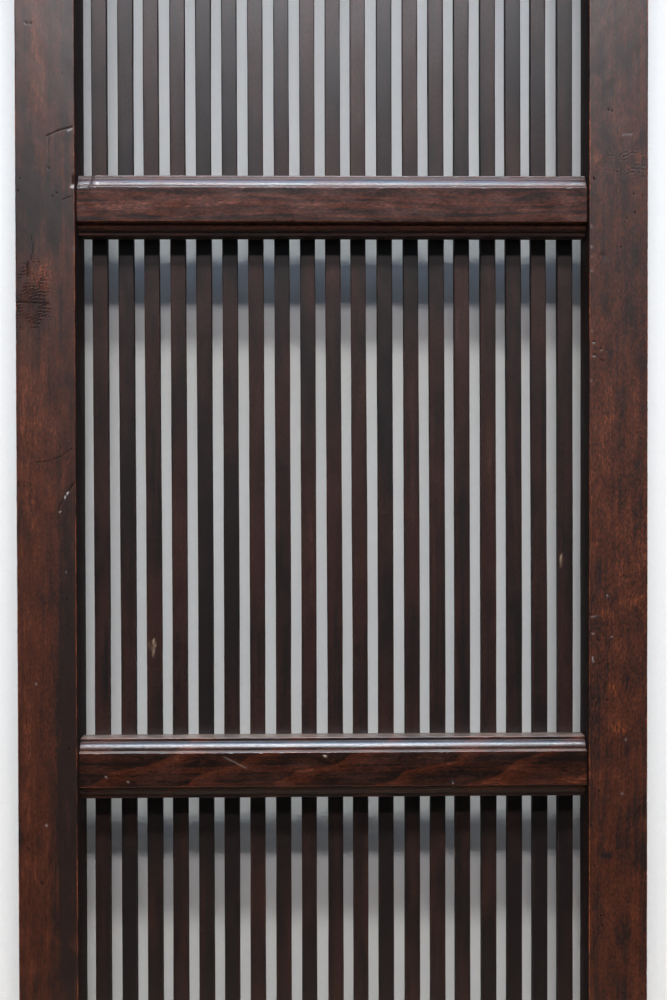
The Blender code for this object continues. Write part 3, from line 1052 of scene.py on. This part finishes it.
def wood_colour(graph, noises, stain, amount, worn):
    """Stain, worn places, dirt and painted shade, pores, freckles, and pale chips with painted glints and
    sheen, one over the other.
    """
    colour = graph.mix(graph.spread(amount, *STAIN_EDGE), rgb(*stain.dark), rgb(*stain.body))
    colour = graph.mix(worn, colour, rgb(*stain.worn))
    uneven = graph.spread(graph.calc("ADD", noises["streak"], noises["mottle"]), *DIRT_AND_SHADE_EDGE, *DIRT_AND_SHADE_LEVELS)
    dirt_and_shade = graph.calc("MULTIPLY", graph.value_of("grime_and_shade"), uneven)
    colour = graph.mix(graph.calc("MULTIPLY", dirt_and_shade, DIRT_AND_SHADE_SHARE), colour, rgb(*DIRT_AND_SHADE_COLOUR))
    colour = graph.mix(graph.calc("MULTIPLY", noises["pores"], PORE_SHARE), colour, rgb(*PORE_COLOUR))
    darkest, brightest = 1 - stain.speckle, 1 + FLECK_GAIN * stain.speckle
    fleck = graph.even(graph.spread(noises["fleck"], *FLECK_EDGE, darkest, brightest))
    colour = graph.mix(1.0, colour, fleck, "MULTIPLY")
    return graph.mix(graph.value_of("bare"), colour, rgb(*stain.bare))


def polish(graph, shader, noises, varnish, worn):
    """Rubbed varnish: a coat that dirty, painted-shade and dull points have lost, over a little raised grain.
    """
    matt = graph.calc("ADD", noises["patch"], graph.calc("MULTIPLY", worn, MATT_WORN))
    matt = graph.spread(matt, *MATT_EDGE, *varnish.matt)
    matt = graph.calc("ADD", matt, graph.calc("MULTIPLY", noises["mottle"], MATT_MOTTLE))
    dull = graph.calc("MAXIMUM", graph.value_of("grime_and_shade"), graph.value_of("dull"))
    matt = graph.calc("ADD", matt, graph.calc("MULTIPLY", dull, MATT_DULL), clamp=True)
    streaks = graph.calc("MULTIPLY", noises["streak"], GRAIN_STREAK)
    height = graph.calc("ADD", streaks, graph.calc("MULTIPLY", noises["mottle"], GRAIN_MOTTLE))
    height = graph.calc("SUBTRACT", height, graph.calc("MULTIPLY", noises["pores"], GRAIN_PORES))
    graph.fill(shader.inputs["Roughness"], matt)
    graph.fill(shader.inputs["Normal"], graph.bump(height, *GRAIN_BUMP))
    graph.fill(shader.inputs["Coat Normal"], graph.bump(noises["mottle"], *COAT_BUMP))
    graph.fill(shader.inputs["Coat Weight"], graph.spread(dull, *COAT_LOSS, varnish.weight, 0.0))
    shader.inputs["Coat Roughness"].default_value = varnish.roughness
    shader.inputs["Coat IOR"].default_value = varnish.ior
    shader.inputs["IOR"].default_value = WOOD_IOR
    shader.inputs["Specular IOR Level"].default_value = varnish.specular
    shader.inputs["Specular Tint"].default_value = rgb(*REFLECTION_BLUE_TINT)


def growth_rings(graph, rings_at, phase, rise, end, level, strength):
    """A clear line at each ring, which fades away towards the next."""
    along = graph.calc("FRACT", graph.calc("ADD", rings_at, phase))
    line = graph.calc("MULTIPLY", graph.spread(along, 0.0, rise), graph.spread(along, rise, end, 1.0, 0.0))
    return graph.calc("MULTIPLY", graph.calc("SUBTRACT", line, level), strength)


def flame_figure(graph, plain):
    """Slanting growth rings."""
    parts = graph.node("SeparateXYZ", {0: plain}).outputs
    across = graph.calc("MULTIPLY", parts["X"], FLAME_RINGS_ACROSS)
    rings_at = graph.calc("SUBTRACT", across, graph.calc("MULTIPLY", parts["Z"], FLAME_RINGS_UP))
    stray = graph.noise(graph.place(plain, FLAME_STRAY_SCALE), 3.0, 0.55)
    rings_at = graph.calc("ADD", rings_at, graph.calc("MULTIPLY", stray, FLAME_STRAY))
    return growth_rings(graph, rings_at, *FLAME_LINES)


def long_figure(graph, plain):
    """Long wavy growth rings that run with the rail."""
    up = graph.node("SeparateXYZ", {0: plain}).outputs["Z"]
    stray = graph.noise(graph.place(plain, LONG_STRAY_SCALE), 3.0, 0.5)
    rings_at = graph.calc("MULTIPLY", up, LONG_RINGS_UP)
    rings_at = graph.calc("ADD", rings_at, graph.calc("MULTIPLY", stray, LONG_STRAY))
    return growth_rings(graph, rings_at, *LONG_LINES)


def wood(name, axis, stain, varnish, offset, figure=None):
    """Old stained wood under rubbed varnish. The axis is the way of its grain."""
    material = bpy.data.materials.new(name)
    graph = Graph(material)
    shader = graph.named("Principled BSDF")
    plain = graph.node("TexCoord").outputs["Object"]
    noises = wood_noises(graph, plain, axis, offset)
    amount = stain_amount(graph, noises, stain.cloud, figure(graph, plain) if figure else None)
    worn = worn_share(graph, noises, amount)
    graph.fill(shader.inputs["Base Color"], wood_colour(graph, noises, stain, amount, worn))
    polish(graph, shader, noises, varnish, worn)
    return material


def stage_material(name, colour, reach=None):
    """A plain pale matt surface with a faint unevenness, seen only from its front, clear beyond its reach."""
    material = bpy.data.materials.new(name)
    graph = Graph(material)
    shader = graph.named("Principled BSDF")
    place = graph.node("TexCoord").outputs["Object"]
    grain = graph.noise(graph.place(place, STAGE_GRAIN_SCALE), 3.0, 0.6)
    darker = rgb(*(channel * STAGE_GRAIN_SHADE for channel in colour))
    graph.fill(shader.inputs["Base Color"], graph.mix(grain, darker, rgb(*colour)))
    shader.inputs["Roughness"].default_value = STAGE_ROUGHNESS
    shader.inputs["Specular IOR Level"].default_value = STAGE_SPECULAR
    clear = graph.node("BsdfTransparent").outputs[0]
    hidden = graph.node("NewGeometry").outputs["Backfacing"]
    if reach:
        away = graph.node("VectorMath", {0: place, 1: DOOR_CENTRE}, operation="DISTANCE").outputs["Value"]
        hidden = graph.calc("MAXIMUM", hidden, graph.spread(away, *reach))
    both = graph.node("MixShader", {0: hidden, 1: shader.outputs[0], 2: clear}).outputs[0]
    graph.fill(graph.named("Material Output").inputs["Surface"], both)
    return material


# Stage, light and camera


def plane(name, corners, material):
    mesh = bpy.data.meshes.new(name)
    mesh.from_pydata(corners, [], [(0, 1, 2, 3)])
    mesh.materials.append(material)
    made = bpy.data.objects.new(name, mesh)
    bpy.context.scene.collection.objects.link(made)
    return made


def make_stage():
    low, high = (Vector(corner) for corner in CAD_BOX)
    back = high.y + BACKDROP_GAP
    floor = low.z - FLOOR_DROP
    left, right, top = low.x - BACKDROP_SIDE, high.x + BACKDROP_SIDE, high.z + BACKDROP_RISE
    upright = [(left, back, floor), (right, back, floor), (right, back, top), (left, back, top)]
    plane("backdrop", upright, stage_material("pale_backdrop", BACKDROP_COLOUR))
    edge = FLOOR_REACH[1] + FLOOR_MARGIN
    flat = [(-edge, -edge, 0.0), (edge, -edge, 0.0), (edge, edge, 0.0), (-edge, edge, 0.0)]
    ground = plane("floor", flat, stage_material("pale_floor", FLOOR_COLOUR, FLOOR_REACH))
    ground.location.z = floor


def area_light(name, place, aim, size, power, colour, spread):
    light = bpy.data.lights.new(name, "AREA")
    light.shape = "RECTANGLE"
    light.size, light.size_y = size
    light.energy = power
    light.color = colour
    light.spread = math.radians(spread)
    made = bpy.data.objects.new(name, light)
    made.location = place
    made.rotation_euler = (Vector(aim) - Vector(place)).to_track_quat("-Z", "Y").to_euler()
    made.visible_camera = False
    bpy.context.scene.collection.objects.link(made)


def make_world():
    """A dim room with a slightly brighter patch behind the camera, a little above it."""
    world = bpy.data.worlds.new("soft_room")
    bpy.context.scene.world = world
    graph = Graph(world)
    way = graph.node("TexCoord").outputs["Generated"]
    centre = Vector(ROOM_PATCH_WAY).normalized()
    near = graph.node("VectorMath", {0: way, 1: centre}, operation="DOT_PRODUCT").outputs["Value"]
    height = graph.node("SeparateXYZ", {0: way}).outputs["Z"]
    patch = graph.calc("MULTIPLY", graph.spread(near, *ROOM_PATCH_EDGE), ROOM_PATCH)
    strength = graph.calc("ADD", patch, graph.spread(height, *ROOM_LEVELS, *ROOM_STRENGTHS))
    seen = graph.node("LightPath").outputs["Is Camera Ray"]
    above = graph.spread(height, *ROOM_COLOUR_LEVELS)
    room = graph.mix(above, rgb(*ROOM_LOW_COLOUR), rgb(*ROOM_HIGH_COLOUR))
    background = graph.named("Background")
    graph.fill(background.inputs["Color"], graph.mix(seen, room, rgb(*ROOM_SEEN_COLOUR)))
    graph.fill(background.inputs["Strength"], graph.node("Mix", {0: seen, 2: strength, 3: 1.0}).outputs[0])


def make_camera():
    camera = bpy.data.cameras.new("camera")
    camera.lens = CAMERA_LENS
    camera.sensor_width = CAMERA_SENSOR
    made = bpy.data.objects.new("camera", camera)
    turn = Matrix.Rotation(math.radians(-CAMERA_YAW), 4, "Z")
    turn @= Matrix.Rotation(math.radians(90 + CAMERA_PITCH), 4, "X")
    turn @= Matrix.Rotation(math.radians(-CAMERA_ROLL), 4, "Z")
    made.matrix_world = Matrix.Translation(CAMERA_PLACE) @ turn
    bpy.context.scene.collection.objects.link(made)
    bpy.context.scene.camera = made


# The door


def make_stiles():
    left = wood("stile_wood_left", "Z", LEFT_STILE_STAIN, STILE_VARNISH, (0.3, 0.1, 0.7))
    right = wood("stile_wood_right", "Z", RIGHT_STILE_STAIN, STILE_VARNISH, (1.7, 0.4, 2.9))
    make_stile("stile_left", left, LEFT_STROKES, LEFT_PATCHES, LEFT_ROUGH_SPOTS, LEFT_SEED,
               1, LEFT_STILE_FLARE)
    make_stile("stile_right", right, RIGHT_STROKES, RIGHT_PATCHES, RIGHT_ROUGH_SPOTS, RIGHT_SEED,
               -1, RIGHT_STILE_FLARE)


def make_rails():
    upper = wood("rail_wood_upper", "X", UPPER_RAIL_STAIN, UPPER_RAIL_VARNISH, (0.9, 2.1, 0.2), long_figure)
    lower = wood("rail_wood_lower", "X", LOWER_RAIL_STAIN, LOWER_RAIL_VARNISH, (2.3, 0.8, 1.1), flame_figure)
    ends = wood("rail_wood_ends", "X", END_RAIL_STAIN, END_RAIL_VARNISH, (4.1, 1.8, 0.6))
    make_rail("mid_rail_upper", upper, ("moulded", "moulded"), UPPER_RAIL_STROKES, UPPER_RAIL_PATCHES,
              MID_RAIL_RING_GAPS, UPPER_SEED, patched_end=True)
    make_rail("mid_rail_lower", lower, ("moulded", "moulded"), LOWER_RAIL_STROKES, LOWER_RAIL_PATCHES,
              MID_RAIL_RING_GAPS, LOWER_SEED)
    make_rail("rail_top", ends, ("plain", "rebated"), [], [], END_RAIL_RING_GAPS, TOP_SEED)
    make_rail("rail_bottom", ends, ("rebated", "plain"), [], [], END_RAIL_RING_GAPS, BOTTOM_SEED)


def make_slats():
    material = wood("slat_wood", "Z", SLAT_STAIN, SLAT_VARNISH, (0.2, 3.1, 1.4))
    for number in range(1, SLAT_COUNT + 1):
        make_slat(number, material)


make_stiles()
make_rails()
make_slats()
make_stage()
for light in LIGHTS:
    area_light(*light)
make_world()
make_camera()
bpy.context.scene.view_settings.view_transform = "Standard"
